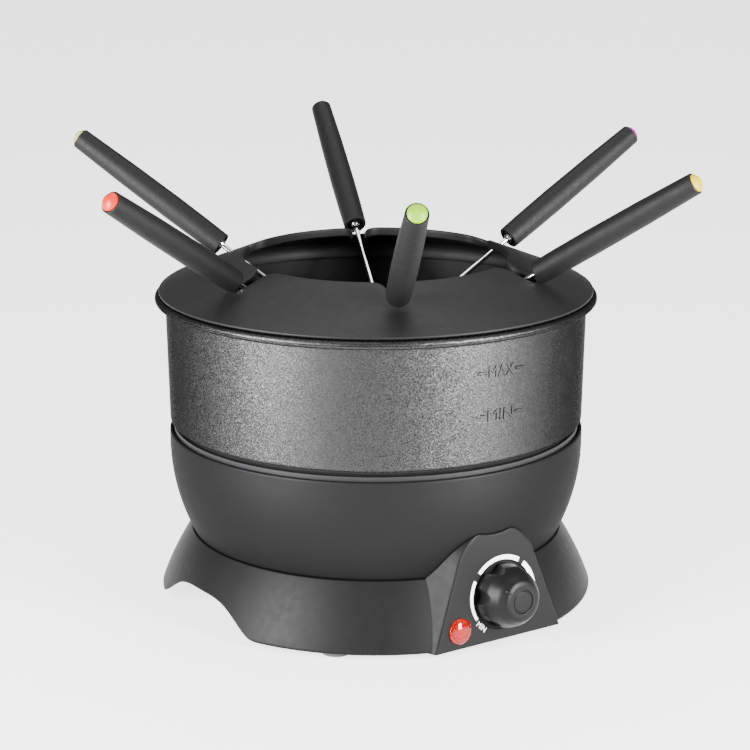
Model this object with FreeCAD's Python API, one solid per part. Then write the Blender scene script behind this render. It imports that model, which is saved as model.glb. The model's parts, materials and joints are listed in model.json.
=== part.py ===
"""Electric fondue pot set: heater base with control panel, lift-out pot, raised fork ring
and six colour-coded forks.  Millimetres, +Z up, origin on the table under the pot's axis."""
import FreeCAD
import Part
import math
import os

V = FreeCAD.Vector

# ---- base housing -----------------------------------------------------------
SKIRT_TOP_R = 87.0
SKIRT_MID_R = 95.5
SKIRT_LOW_R = 101.3
SKIRT_TOP_Z = 32.0
SKIRT_MID_Z = 17.4
SKIRT_LOW_Z = 4.0
SKIRT_FOOT_Z = 2.5          # the housing's lower edge, lifted off the table by the feet
WALL = 2.2
DECK_HOLE_R = 68.0

ARCH_HALF = 44.0            # half the width of a finger arch, along the skirt
ARCH_RISE = 13.5
ARCH_FLATNESS = 1.6

# ---- control panel: a flat face let into the skirt --------------------------
PANEL_AZ = -56.0            # plan direction that the face looks in
PANEL_OUT = 97.8            # distance of the face from the axis at table height
PANEL_LEAN = 4.4            # the face leans back by this angle
FACE_TOP = 54.8             # height of the face, measured along it
FACE_ARC_R = 22.0
FACE_SIDE = 19.8            # angle of the face's side edges from upright
FACE_DRAFT = 22.0           # the sides flare by this angle towards the back
FACE_ROUND = 1.4            # rounding of the face's edge
PANEL_DEPTH = 30.0
BOWL_GAP = 0.4

# ---- feet, cover and cord gland ---------------------------------------------
FOOT_AZ = [PANEL_AZ + a for a in (-45, 45, 135, 225)]
FOOT_AT = 91.0
FOOT_R = 7.0
FOOT_STEM_R = 3.0
FOOT_STEM_H = 6.0
COVER_Z0 = 16.6
COVER_T = 1.8
COVER_R = 92.6
COVER_SCREW_AT = 78.0
COVER_SCREW_AZ = [PANEL_AZ + a for a in (-60, 60, 125, 235)]
BAY_HALF = 29.0
BAY_IN = 56.0
BAY_LOW_Z = 2.6
COVER_GAP = 0.5             # between the bay and the housing's wall
COVER_POST_R = 4.0
VENT_R = 2.2
VENT_RINGS = (18, 30, 42)
VENT_PITCH = 18.85          # along each ring of vents
GLAND_AZ = PANEL_AZ + 180
GLAND_Z = 25.2
GLAND_HOLE_R = 4.0
GLAND_BOSS_R = 6.6
GLAND_BOSS_IN = 82.5        # the boss runs between these two radii
GLAND_BOSS_OUT = 95.5
GLAND_COLLAR_R = 6.2
GLAND_COLLAR_T = 1.6
GLAND_INNER_R = 4.5
CORD_HOLE_R = 2.9
SCREW_HEAD_R = 3.0
SCREW_HEAD_H = 1.95
DECK_SCREW_AT = 78.0
DECK_SCREW_AZ = [PANEL_AZ + a for a in (30, 150, 270)]

# ---- knob and lamp ----------------------------------------------------------
KNOB_U = 2.8                # knob centre across the face
KNOB_V = 22.8               # knob centre up the face
KNOB_R = 14.5
KNOB_NOSE_R = 8.4
KNOB_H = 15.2
KNOB_SCOOPS = 6
SCOOP_R = 4.4               # each grip is a round groove
SCOOP_FOOT_R = 11.9         # radius of the groove's bottom at the face
SCOOP_LEAN = 8.0            # it leans out by this angle as it rises
NOSE_DISC_R = 5.35
NOSE_DISC_T = 0.9
POCKET_R = 15.6
POCKET_DEPTH = 0.8
SHAFT_R = 3.0
SHAFT_PLAY = 0.05
SHAFT_END = 8.5             # how far the shaft reaches into the knob, from the face
BUSH_R = 4.6
MARK_L = 3.4
MARK_W = 1.0
POINTER_ANGLE = 142.0       # where the knob's mark stands at rest

LAMP_U = -21.0
LAMP_V = 10.7
LAMP_R = 5.8
LAMP_BODY_R = 4.2

# ---- heater bowl and what it holds ------------------------------------------
BOWL_R = 96.3
BOWL_TOP_Z = 80.2
BOWL_ARC_Z = 74.0
BOWL_ARC_R = 91.0
BOWL_BASE_Z = 32.2
BOWL_WALL = 1.8
BOWL_HOLE_R = 40.0
LINER_R = 94.3
LINER_WALL = 0.9
LINER_TOP_Z = 82.0
LINER_FLOOR_Z = 58.0
PLATE_R = 80.0
PLATE_Z0 = 67.2
PLATE_Z1 = 73.2
STANDOFF_R = 4.0
STANDOFF_AT = 66.0
ELEMENT_R = 50.0
ELEMENT_TUBE_R = 3.3
ELEMENT_DROP = 1.0          # its centre line lies this far below the plate
ELEMENT_GAP = 16.0          # between its two ends
PIN_R = 2.0
PIN_L = 17.0
PIN_AT = 49.4
PIN_SIDE = 10.2             # the element's two end pins stand this far from its middle line

# ---- pot --------------------------------------------------------------------
POT_BASE_Z = 73.5
POT_FLOOR_Z = 76.0
POT_STEP_Z = 85.0
POT_NECK_R = 91.6
POT_LOW_R = 96.0
POT_TOP_R = 97.2
POT_WALL = 2.2
RIM_R = 102.0
RIM_TOP_Z = 143.6
RIM_H = 3.6

# ---- fork ring --------------------------------------------------------------
RING_R = 100.2
RING_EDGE_Z = 145.7         # top of the sheet at the outer edge
RING_RISE = 0.392           # rise of the cone per unit of radius
RING_T = 1.5
MOUTH_R = 61.0
LIP_DROP = 4.2
LIP_T = 1.3
SLOT_HALF = 3.1
SLOT_END_AT = 75.0          # radius of the slot end's centre
MOUTH_FILLET = 7.5
COLLAR_R = 93.6
COLLAR_T = 1.5
COLLAR_LOW_Z = 139.5

# ---- forks: colour, slot direction, heading and inclination from upright ----
FORKS = (
    ("cream", 157.0, 164.5, 55.75),
    ("orange", 217.0, 229.5, 57.75),
    ("blue", 97.0, 105.0, 55.25),
    ("lime", 277.0, 275.5, 55.0),
    ("magenta", 37.0, 32.0, 58.75),
    ("yellow", 337.0, 334.0, 57.25),
)
FORK_AT = 75.0              # radius at which a fork's axis crosses the ring's upper face
HANDLE_START = 4.9          # from there to the handle's lower end, along the fork
HANDLE_L = 86.0
HANDLE_LOW_R = 5.5
HANDLE_MID_R = 5.9
HANDLE_TOP_R = 5.0
HANDLE_END_ROUND = 0.8
SOCKET_R = 4.2              # the recess in the handle's lower end
SOCKET_DEPTH = 1.3
CAP_R = 4.1
CAP_SEAT = 1.0              # how deep the cap sits in the handle's end
CAP_RISE = 1.9              # how far its dome stands out
FORK_REACH = 132.0          # from the slot to the tips
ROD_R = 1.2
ROD_IN_HANDLE = 22.0
TINE_L = 34.0
TINE_GAP = 1.4              # half the distance between the tines' centre lines
TINE_R = 0.65
TINE_POINT_L = 6.0
BRIDGE_T = 1.6
BRIDGE_L = 4.0


def revolve(points):
    """Solid of revolution of a closed outline given as points, with 3-point arcs as tuples."""
    edges = []
    here = points[0]
    for step in points[1:] + [points[0]]:
        if isinstance(step[0], tuple):
            mid, end = step
            edges.append(Part.Arc(V(here[0], 0, here[1]), V(mid[0], 0, mid[1]),
                                  V(end[0], 0, end[1])).toShape())
            here = end
        else:
            if math.dist(here, step) > 1e-6:
                edges.append(Part.makeLine(V(here[0], 0, here[1]), V(step[0], 0, step[1])))
            here = step
    face = Part.Face(Part.Wire(edges))
    return face.revolve(V(0, 0, 0), V(0, 0, 1), 360)


def dome(radius, low, top):
    """Arc step that closes an outline on the axis with a spherical cap."""
    rise = top - low
    ball = (radius * radius + rise * rise) / (2 * rise)
    half = math.asin(radius / ball) / 2
    return ((ball * math.sin(half), top - ball + ball * math.cos(half)), (0, top))


def polar(radius, azimuth, z=0.0):
    """Point at a plan radius and azimuth."""
    a = math.radians(azimuth)
    return V(radius * math.cos(a), radius * math.sin(a), z)


def cylinder(radius, height, base, axis=V(0, 0, 1)):
    """Cylinder from a base point along an axis."""
    return Part.makeCylinder(radius, height, base, axis)


def tube(outer, inner, height, base, axis=V(0, 0, 1)):
    """Hollow cylinder."""
    return cylinder(outer, height, base, axis).cut(cylinder(inner, height, base, axis))


def save(name, shape):
    """Write one node."""
    shape.exportStep("parts/" + name + ".step")


def panel_place(shape):
    """Bring a shape from panel axes (u across, v up the face, w outwards) to the frame."""
    a = math.radians(PANEL_AZ)
    t = math.radians(PANEL_LEAN)
    n = V(math.cos(a) * math.cos(t), math.sin(a) * math.cos(t), math.sin(t))
    u = V(-math.sin(a), math.cos(a), 0)
    v = n.cross(u)
    p = V(PANEL_OUT * math.cos(a), PANEL_OUT * math.sin(a), 0)
    m = FreeCAD.Matrix(u.x, v.x, n.x, p.x, u.y, v.y, n.y, p.y, u.z, v.z, n.z, p.z, 0, 0, 0, 1)
    placed = shape.copy()
    placed.Placement = FreeCAD.Placement(m).multiply(shape.Placement)
    return placed


# ---- housing ----------------------------------------------------------------
def skirt_solid(inset):
    """The flared skirt as a full solid, drawn in by a wall thickness and cut off flat where
    it would stand out through the panel's face."""
    low = SKIRT_FOOT_Z if inset == 0 else SKIRT_FOOT_Z - 1.0
    top = SKIRT_TOP_Z - inset
    skirt = revolve([
        (0, low), (SKIRT_LOW_R - inset - 1.3, low),
        ((SKIRT_LOW_R - inset - 0.35, low + 0.4), (SKIRT_LOW_R - inset, SKIRT_LOW_Z)),
        ((SKIRT_MID_R - inset, SKIRT_MID_Z), (SKIRT_TOP_R - inset * 1.2, top)),
        (0, top),
    ])
    beyond = Part.makeBox(160, 160, 60, V(-80, -60, -inset))
    return skirt.cut(panel_place(beyond))


def face_wire(grow, w):
    """Outline of the panel's face, grown sideways and placed at depth w."""
    r = FACE_ARC_R + grow
    side = math.radians(FACE_SIDE)
    cv = FACE_TOP - FACE_ARC_R
    tu = r * math.cos(side)
    tv = cv + r * math.sin(side)
    low_v = -6.0
    low_u = tu + (tv - low_v) * math.tan(side)
    left = V(-low_u, low_v, w)
    right = V(low_u, low_v, w)
    arc = Part.Arc(V(tu, tv, w), V(0, cv + r, w), V(-tu, tv, w)).toShape()
    edges = [Part.makeLine(left, right), Part.makeLine(right, V(tu, tv, w)), arc,
             Part.makeLine(V(-tu, tv, w), left)]
    return Part.Wire(edges)


def panel_block(inset):
    """The panel's flaring block, drawn in by a wall thickness, above the housing's edge."""
    flare = math.tan(math.radians(FACE_DRAFT)) * PANEL_DEPTH
    front = face_wire(-inset, -inset)
    back = face_wire(flare - inset, -inset - PANEL_DEPTH)
    block = Part.makeLoft([back, front], True, True)
    if inset == 0:
        rim = [e for e in block.Edges
               if e.BoundBox.ZMin > -0.01 and e.BoundBox.YMax > 0]
        block = block.makeFillet(FACE_ROUND, rim)
    block = panel_place(block)
    low = SKIRT_FOOT_Z if inset == 0 else SKIRT_FOOT_Z - 1.0
    keep = cylinder(130, 80, V(0, 0, low))
    return block.common(keep)


def bowl_curve_r(z, grow):
    """Radius of the bowl's outside at a height, grown by an amount."""
    centre = BOWL_R - BOWL_ARC_R
    return centre + math.sqrt((BOWL_ARC_R + grow) ** 2 - (BOWL_ARC_Z - z) ** 2)


def bowl_solid(grow, low, top):
    """The bowl's outside as a full solid between two heights, grown by an amount."""
    middle = (low + BOWL_ARC_Z) / 2
    return revolve([
        (0, low), (bowl_curve_r(low, grow), low),
        ((bowl_curve_r(middle, grow), middle), (BOWL_R + grow, BOWL_ARC_Z)),
        (BOWL_R + grow, top), (0, top),
    ])


def base_inner(inset):
    """The hollow inside the housing for a wall of the given thickness."""
    block = panel_block(inset).cut(bowl_solid(inset, SKIRT_TOP_Z - inset, 90))
    return skirt_solid(inset).fuse(block)


def arch_cutter(azimuth):
    """Bell-shaped finger arch through the skirt, on one side."""
    count = 9
    points = []
    for i in range(-count, count + 1):
        x = i / count
        rise = ARCH_RISE * math.cos(math.pi / 2 * abs(x) ** ARCH_FLATNESS) ** 2
        points.append(V(60, x * ARCH_HALF, SKIRT_FOOT_Z + rise))
    curve = Part.BSplineCurve()
    curve.interpolate(points)
    low = [V(60, ARCH_HALF, -5), V(60, -ARCH_HALF, -5)]
    edges = [curve.toShape(), Part.makeLine(points[-1], low[0]),
             Part.makeLine(low[0], low[1]), Part.makeLine(low[1], points[0])]
    solid = Part.Face(Part.Wire(edges)).extrude(V(60, 0, 0))
    solid.rotate(V(0, 0, 0), V(0, 0, 1), azimuth)
    return solid


def make_base_skirt():
    """Housing: skirt, deck, panel, finger arches, foot posts, screw posts and cord boss."""
    outer_block = panel_block(0).cut(bowl_solid(BOWL_GAP, SKIRT_TOP_Z, 90))
    outer = skirt_solid(0).fuse(outer_block)
    shell = outer.cut(base_inner(WALL))
    posts = []
    for az in FOOT_AZ:
        posts.append(cylinder(FOOT_R + 0.6, COVER_Z0 - 0.4 - SKIRT_FOOT_Z,
                              polar(FOOT_AT, az, SKIRT_FOOT_Z)).common(skirt_solid(0)))
    for az in COVER_SCREW_AZ:
        posts.append(cylinder(COVER_POST_R, SKIRT_TOP_Z - 1 - COVER_Z0 - COVER_T,
                              polar(COVER_SCREW_AT, az, COVER_Z0 + COVER_T)))
    gland_axis = polar(1, GLAND_AZ)
    posts.append(cylinder(GLAND_BOSS_R, GLAND_BOSS_OUT - GLAND_BOSS_IN,
                          polar(GLAND_BOSS_IN, GLAND_AZ, GLAND_Z), gland_axis))
    body = shell
    for post in posts:
        body = body.fuse(post)
    cuts = [cylinder(DECK_HOLE_R, 10, V(0, 0, SKIRT_TOP_Z - 5)),
            arch_cutter(PANEL_AZ + 90), arch_cutter(PANEL_AZ - 90)]
    for az in FOOT_AZ:
        cuts.append(cylinder(FOOT_STEM_R + 0.02, FOOT_STEM_H + 0.4,
                             polar(FOOT_AT, az, SKIRT_FOOT_Z - 0.1)))
    for az in COVER_SCREW_AZ:
        cuts.append(cylinder(1.5, 9, polar(COVER_SCREW_AT, az, COVER_Z0 + 1)))
    for az in DECK_SCREW_AZ:
        cuts.append(cylinder(1.6, 6, polar(DECK_SCREW_AT, az, SKIRT_TOP_Z - 4)))
    cuts.append(cylinder(GLAND_HOLE_R + 0.02, 30, polar(75, GLAND_AZ, GLAND_Z), gland_axis))
    knob_at = V(KNOB_U, KNOB_V, 0)
    lamp_at = V(LAMP_U, LAMP_V, 0)
    cuts.append(panel_place(cylinder(BUSH_R + 0.2, 8, knob_at + V(0, 0, -6))))
    cuts.append(panel_place(cylinder(POCKET_R, 3, knob_at + V(0, 0, -POCKET_DEPTH))))
    cuts.append(panel_place(cylinder(LAMP_BODY_R + 0.1, 8, lamp_at + V(0, 0, -6))))
    for cut in cuts:
        body = body.cut(cut)
    save("base_skirt", body)


def make_base_cover():
    """Underside cover with a bay behind the panel, its screws and the feet."""
    disc = cylinder(COVER_R, COVER_T, V(0, 0, COVER_Z0))
    box = Part.makeBox(110 - BAY_IN, 2 * BAY_HALF, COVER_Z0 + COVER_T - BAY_LOW_Z,
                       V(BAY_IN, -BAY_HALF, BAY_LOW_Z))
    box.rotate(V(0, 0, 0), V(0, 0, 1), PANEL_AZ)
    bay = box.common(base_inner(WALL + COVER_GAP))
    hollow = Part.makeBox(110 - BAY_IN, 2 * BAY_HALF - 2 * COVER_T, 30,
                          V(BAY_IN + COVER_T, -BAY_HALF + COVER_T, BAY_LOW_Z + COVER_T))
    hollow.rotate(V(0, 0, 0), V(0, 0, 1), PANEL_AZ)
    hollow = hollow.common(base_inner(WALL))
    body = disc.fuse(bay).cut(hollow)
    for az in COVER_SCREW_AZ:
        body = body.cut(cylinder(1.8, 6, polar(COVER_SCREW_AT, az, COVER_Z0 - 1)))
    vents = []
    for ring_r in VENT_RINGS:
        count = round(2 * math.pi * ring_r / VENT_PITCH)
        for i in range(count):
            vents.append(cylinder(VENT_R, 6, polar(ring_r, i * 360.0 / count, COVER_Z0 - 1)))
    body = body.cut(Part.makeCompound(vents))
    save("base_cover", body)

    screws = []
    for az in COVER_SCREW_AZ:
        base = polar(COVER_SCREW_AT, az, COVER_Z0 - 2.0)
        shank = cylinder(1.48, 8.5, base + V(0, 0, 1.9))
        screws.append(screw_head(base, SCREW_HEAD_R, SCREW_HEAD_H).fuse(shank))
    save("cover_screws", Part.makeCompound(screws))

    for i, az in enumerate(FOOT_AZ):
        pad = revolve([(0, 0), (FOOT_R - 0.9, 0), ((FOOT_R - 0.26, 0.26), (FOOT_R, 0.9)),
                       (FOOT_R, SKIRT_FOOT_Z), (FOOT_STEM_R, SKIRT_FOOT_Z),
                       (FOOT_STEM_R, SKIRT_FOOT_Z + FOOT_STEM_H),
                       (0, SKIRT_FOOT_Z + FOOT_STEM_H)])
        pad.translate(polar(FOOT_AT, az))
        save("rubber_foot_%d" % (i + 1), pad)


def screw_head(base, radius, height, up=V(0, 0, 1)):
    """Pan head with a cross recess, facing down from base."""
    head = cylinder(radius, height, base, up)
    slot_a = Part.makeBox(radius * 1.2, 0.7, 1.0, base - V(radius * 0.6, 0.35, 0))
    slot_b = Part.makeBox(0.7, radius * 1.2, 1.0, base - V(0.35, radius * 0.6, 0))
    return head.cut(slot_a).cut(slot_b)


def make_cord_gland():
    """Rubber gland in the housing's rear boss, with the hole for the supply cord."""
    axis = polar(1, GLAND_AZ)
    length = GLAND_BOSS_OUT - GLAND_BOSS_IN
    sleeve = cylinder(GLAND_HOLE_R, length + 3.0, polar(GLAND_BOSS_IN - 1.5, GLAND_AZ, GLAND_Z), axis)
    collar = cylinder(GLAND_COLLAR_R, GLAND_COLLAR_T, polar(GLAND_BOSS_OUT, GLAND_AZ, GLAND_Z), axis)
    inner = cylinder(GLAND_INNER_R, 1.4, polar(GLAND_BOSS_IN - 1.6, GLAND_AZ, GLAND_Z), axis)
    hole = cylinder(CORD_HOLE_R, length + 20, polar(GLAND_BOSS_IN - 6, GLAND_AZ, GLAND_Z), axis)
    body = sleeve.fuse(collar).fuse(inner).cut(hole)
    save("cord_gland", body.removeSplitter())


# ---- heater -----------------------------------------------------------------
def make_heater_bowl():
    """Painted bowl round the pot's foot, with an inward base flange screwed to the deck."""
    outer = bowl_solid(0, BOWL_BASE_Z, BOWL_TOP_Z)
    inner = bowl_solid(-BOWL_WALL, BOWL_BASE_Z + BOWL_WALL, BOWL_TOP_Z + 1)
    body = outer.cut(inner)
    body = body.cut(cylinder(BOWL_HOLE_R, 10, V(0, 0, BOWL_BASE_Z - 3)))
    for az in DECK_SCREW_AZ:
        body = body.cut(cylinder(1.8, 6, polar(DECK_SCREW_AT, az, BOWL_BASE_Z - 2)))
    lip = [e for e in body.Edges
           if abs(e.CenterOfMass.z - BOWL_TOP_Z) < 0.01 and e.BoundBox.XLength > 150]
    body = body.makeFillet(0.7, lip)
    save("heater_bowl", body)

    screws = []
    for az in DECK_SCREW_AZ:
        top = polar(DECK_SCREW_AT, az, BOWL_BASE_Z + BOWL_WALL + 2.0)
        shank = cylinder(1.58, 7.0, top + V(0, 0, -8.9))
        head = screw_head(top, SCREW_HEAD_R, SCREW_HEAD_H, V(0, 0, -1))
        screws.append(head.fuse(shank))
    save("bowl_screws", Part.makeCompound(screws))


def make_bowl_liner():
    """Black liner pan inside the bowl, with holes for the standoffs and leads."""
    inner = LINER_R - LINER_WALL
    floor = LINER_FLOOR_Z
    body = revolve([
        (18, floor), (86, floor), ((91.2, floor + 2.2), (LINER_R - 1.3, floor + 7.5)),
        (LINER_R, BOWL_ARC_Z), (LINER_R, LINER_TOP_Z), (inner, LINER_TOP_Z),
        (inner, BOWL_ARC_Z), (inner - 1.3, floor + 7.6),
        ((90.4, floor + 3.0), (85.6, floor + LINER_WALL)), (18, floor + LINER_WALL),
    ])
    for i in range(3):
        at = polar(STANDOFF_AT, PANEL_AZ + 120 * i, floor - 2)
        body = body.cut(cylinder(STANDOFF_R + 0.3, 6, at))
    for side in (-1, 1):
        at = V(PIN_AT, side * PIN_SIDE, floor - 2)
        hole = cylinder(PIN_R + 0.8, 6, at)
        hole.rotate(V(0, 0, 0), V(0, 0, 1), PANEL_AZ + 180)
        body = body.cut(hole)
    save("bowl_liner", body)


def make_heating_plate():
    """Cast plate under the pot with its cast-in tubular element and three standoffs."""
    plate = revolve([
        (0, PLATE_Z0), (PLATE_R - 1.5, PLATE_Z0), (PLATE_R, PLATE_Z0 + 1.5),
        (PLATE_R, PLATE_Z1 - 1.0), (PLATE_R - 1.0, PLATE_Z1), (0, PLATE_Z1),
    ])
    plate = plate.cut(Part.makeTorus(ELEMENT_R, ELEMENT_TUBE_R + 0.08,
                                     V(0, 0, PLATE_Z0 - ELEMENT_DROP)))
    for i in range(3):
        at = polar(STANDOFF_AT, PANEL_AZ + 120 * i, PLATE_Z0)
        plate = plate.cut(cylinder(1.5, 4.5, at + V(0, 0, -0.5)))
    save("heating_plate", plate)

    ring = Part.makeTorus(ELEMENT_R, ELEMENT_TUBE_R, V(0, 0, PLATE_Z0 - ELEMENT_DROP))
    gap_az = PANEL_AZ + 180
    wedge = Part.makeBox(60, ELEMENT_GAP, 20, V(20, -ELEMENT_GAP / 2, PLATE_Z0 - 10))
    wedge.rotate(V(0, 0, 0), V(0, 0, 1), gap_az)
    ring = ring.cut(wedge)
    ends = []
    for side in (-1, 1):
        pin = cylinder(PIN_R, PIN_L, V(PIN_AT, side * PIN_SIDE, PLATE_Z0 - PIN_L - 2.0))
        pin.rotate(V(0, 0, 0), V(0, 0, 1), gap_az)
        ends.append(pin)
    element = ring.fuse(ends[0]).fuse(ends[1])
    save("heating_element", element.removeSplitter())

    standoffs = []
    base_z = BOWL_BASE_Z + BOWL_WALL
    for i in range(3):
        at = polar(STANDOFF_AT, PANEL_AZ + 120 * i, base_z)
        post = cylinder(STANDOFF_R, PLATE_Z0 - base_z, at)
        stud = cylinder(1.45, 3.8, at + V(0, 0, PLATE_Z0 - base_z))
        standoffs.append(post.fuse(stud))
    save("plate_standoffs", Part.makeCompound(standoffs))


def make_inner_electrics():
    """Terminal block, thermal fuse and the leads between them, inside the bowl."""
    z0 = BOWL_BASE_Z + BOWL_WALL
    block = Part.makeBox(16, 34, 11, V(52, -17, z0))
    for side in (-11, 0, 11):
        block = block.cut(cylinder(2.0, 5, V(60, side, z0 + 7)))
        block = block.cut(cylinder(1.4, 24, V(48, side, z0 + 4.5), V(1, 0, 0)))
    block.rotate(V(0, 0, 0), V(0, 0, 1), PANEL_AZ + 180)
    save("terminal_block", block)

    clip = Part.makeBox(9, 14, 1.0, V(16, -7, PLATE_Z0 - 1.0))
    fuse = cylinder(2.2, 16, V(20.5, -8, PLATE_Z0 - 3.2), V(0, 1, 0))
    fuse = fuse.fuse(cylinder(0.8, 24, V(20.5, -12, PLATE_Z0 - 3.2), V(0, 1, 0)))
    for shape in (clip, fuse):
        shape.rotate(V(0, 0, 0), V(0, 0, 1), PANEL_AZ + 180)
    save("fuse_clip", clip)
    save("thermal_fuse", fuse)


# ---- controls ---------------------------------------------------------------
def make_thermostat():
    """Thermostat body on its bracket, with the bush that guides the knob's shaft."""
    centre = V(KNOB_U, KNOB_V, 0)
    case = Part.makeBox(26, 15.5, 15, V(KNOB_U - 13, KNOB_V - 10.5, -19.2))
    bush = cylinder(BUSH_R, 5.2, centre + V(0, 0, -4.4))
    bore = cylinder(SHAFT_R + SHAFT_PLAY, 17.0, centre + V(0, 0, -14.5))
    lug = Part.makeBox(5, 8, 0.9, V(KNOB_U + 13, KNOB_V - 8, -12))
    body = case.fuse(bush).fuse(lug).cut(bore)
    save("thermostat_body", panel_place(body.removeSplitter()))

    bracket = Part.makeBox(34, 17, 1.2, V(KNOB_U - 17, KNOB_V - 11.5, -3.9))
    bracket = bracket.cut(cylinder(BUSH_R + 0.05, 5, centre + V(0, 0, -6)))
    save("thermostat_bracket", panel_place(bracket))

    shaft = cylinder(SHAFT_R, SHAFT_END + 14.0, centre + V(0, 0, -14.0))
    flat = Part.makeBox(10, 4, 8.5, V(KNOB_U - 5, KNOB_V + SHAFT_R - 0.9, 2.2))
    shaft = shaft.cut(flat)
    save("thermostat_shaft", panel_place(shaft))


def knob_blank():
    """The knob's outer form about its own axis, base at z 0."""
    low = -POCKET_DEPTH + 0.4
    return revolve([
        (0, low), (KNOB_R - 0.5, low), (KNOB_R, low + 0.5), (KNOB_R, 1.4),
        ((13.3, 8.2), (KNOB_NOSE_R + 1.3, 13.9)),
        ((KNOB_NOSE_R + 0.55, 14.85), (KNOB_NOSE_R - 0.6, KNOB_H)),
        (0, KNOB_H),
    ])


def make_knob():
    """Fluted knob with a pointer mark, and the disc let into its nose."""
    body = knob_blank()
    lean = math.radians(SCOOP_LEAN)
    start = -10.0
    for i in range(KNOB_SCOOPS):
        at = SCOOP_FOOT_R + SCOOP_R / math.cos(lean) + start * math.tan(lean)
        scoop = cylinder(SCOOP_R, 40, V(at, 0, start), V(math.sin(lean), 0, math.cos(lean)))
        scoop.rotate(V(0, 0, 0), V(0, 0, 1), POINTER_ANGLE + (i + 0.5) * 360 / KNOB_SCOOPS)
        body = body.cut(scoop)
    body = body.cut(cylinder(NOSE_DISC_R, 2, V(0, 0, KNOB_H - NOSE_DISC_T)))
    body = body.cut(cylinder(SHAFT_R + 0.02, SHAFT_END + 1.2, V(0, 0, -1)))
    body = body.cut(cylinder(BUSH_R + 0.6, 2.4, V(0, 0, -1)))
    mark = Part.makeBox(MARK_L, MARK_W, 3.0, V(KNOB_NOSE_R - 2.2, -MARK_W / 2, KNOB_H - 3.6))
    mark.rotate(V(0, 0, 0), V(0, 0, 1), POINTER_ANGLE)
    body = body.fuse(mark).removeSplitter()
    body.translate(V(KNOB_U, KNOB_V, 0))
    save("control_knob", panel_place(body))

    low = KNOB_H - NOSE_DISC_T
    edge = NOSE_DISC_R - 0.02
    disc = revolve([(0, low), (edge, low), (edge, KNOB_H - 0.35), (edge - 0.43, KNOB_H - 0.35),
                    (edge - 0.58, KNOB_H - 0.1), (edge - 0.83, KNOB_H), (0, KNOB_H + 0.15)])
    disc.translate(V(KNOB_U, KNOB_V, 0))
    save("knob_disc", panel_place(disc))


def make_lamp():
    """Red indicator: domed lens, neon tube and the holder behind the face."""
    at = V(LAMP_U, LAMP_V, 0)
    lens = revolve([
        (0, -1.5), (LAMP_BODY_R - 1.2, -1.5), (LAMP_BODY_R - 1.2, -7.0),
        (LAMP_BODY_R, -7.0), (LAMP_BODY_R, 0.05), (LAMP_R, 0.05), (LAMP_R, 0.8),
        dome(LAMP_R, 0.8, 2.8),
    ])
    lens.translate(at)
    save("lamp_lens", panel_place(lens))
    tube_r = LAMP_BODY_R - 2.0
    bulb = revolve([
        (0, -2.2), ((tube_r * 0.7, -2.9), (tube_r, -4.4)), (tube_r, -13.0), (0, -13.0),
    ])
    bulb.translate(at)
    save("neon_lamp", panel_place(bulb))
    holder = tube(LAMP_BODY_R + 1.0, LAMP_BODY_R + 0.05, 6.5, V(0, 0, -9.0))
    back = tube(LAMP_BODY_R + 1.0, tube_r + 0.05, 1.5, V(0, 0, -10.5))
    holder = holder.fuse(back).removeSplitter()
    holder.translate(at)
    save("lamp_holder", panel_place(holder))


# ---- pot and ring -----------------------------------------------------------
def make_pot():
    """Cast pot: stepped foot, near-upright wall and a rolled rim."""
    inner_top = POT_TOP_R - POT_WALL
    inner_low = POT_LOW_R - POT_WALL - 1.4
    foot = POT_NECK_R - 6
    body = revolve([
        (0, POT_BASE_Z), (foot, POT_BASE_Z),
        ((foot + 4.3, POT_BASE_Z + 1.7), (POT_NECK_R, POT_BASE_Z + 6)),
        (POT_NECK_R, POT_STEP_Z - 0.6), (POT_LOW_R - 1.4, POT_STEP_Z - 0.6),
        ((POT_LOW_R - 0.4, POT_STEP_Z - 0.2), (POT_LOW_R, POT_STEP_Z + 0.8)),
        (POT_TOP_R, RIM_TOP_Z - RIM_H - 1.2),
        ((POT_TOP_R + 0.35, RIM_TOP_Z - RIM_H - 0.35),
         (POT_TOP_R + 1.2, RIM_TOP_Z - RIM_H)),
        (RIM_R - RIM_H / 2, RIM_TOP_Z - RIM_H),
        ((RIM_R, RIM_TOP_Z - RIM_H / 2), (RIM_R - RIM_H / 2, RIM_TOP_Z)),
        (inner_top + 1.6, RIM_TOP_Z),
        ((inner_top + 0.45, RIM_TOP_Z - 0.45), (inner_top, RIM_TOP_Z - 1.6)),
        (inner_low, POT_FLOOR_Z + 9),
        ((inner_low - 2.7, POT_FLOOR_Z + 2.7), (inner_low - 9, POT_FLOOR_Z)),
        (0, POT_FLOOR_Z),
    ])
    save("pot", body)


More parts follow.
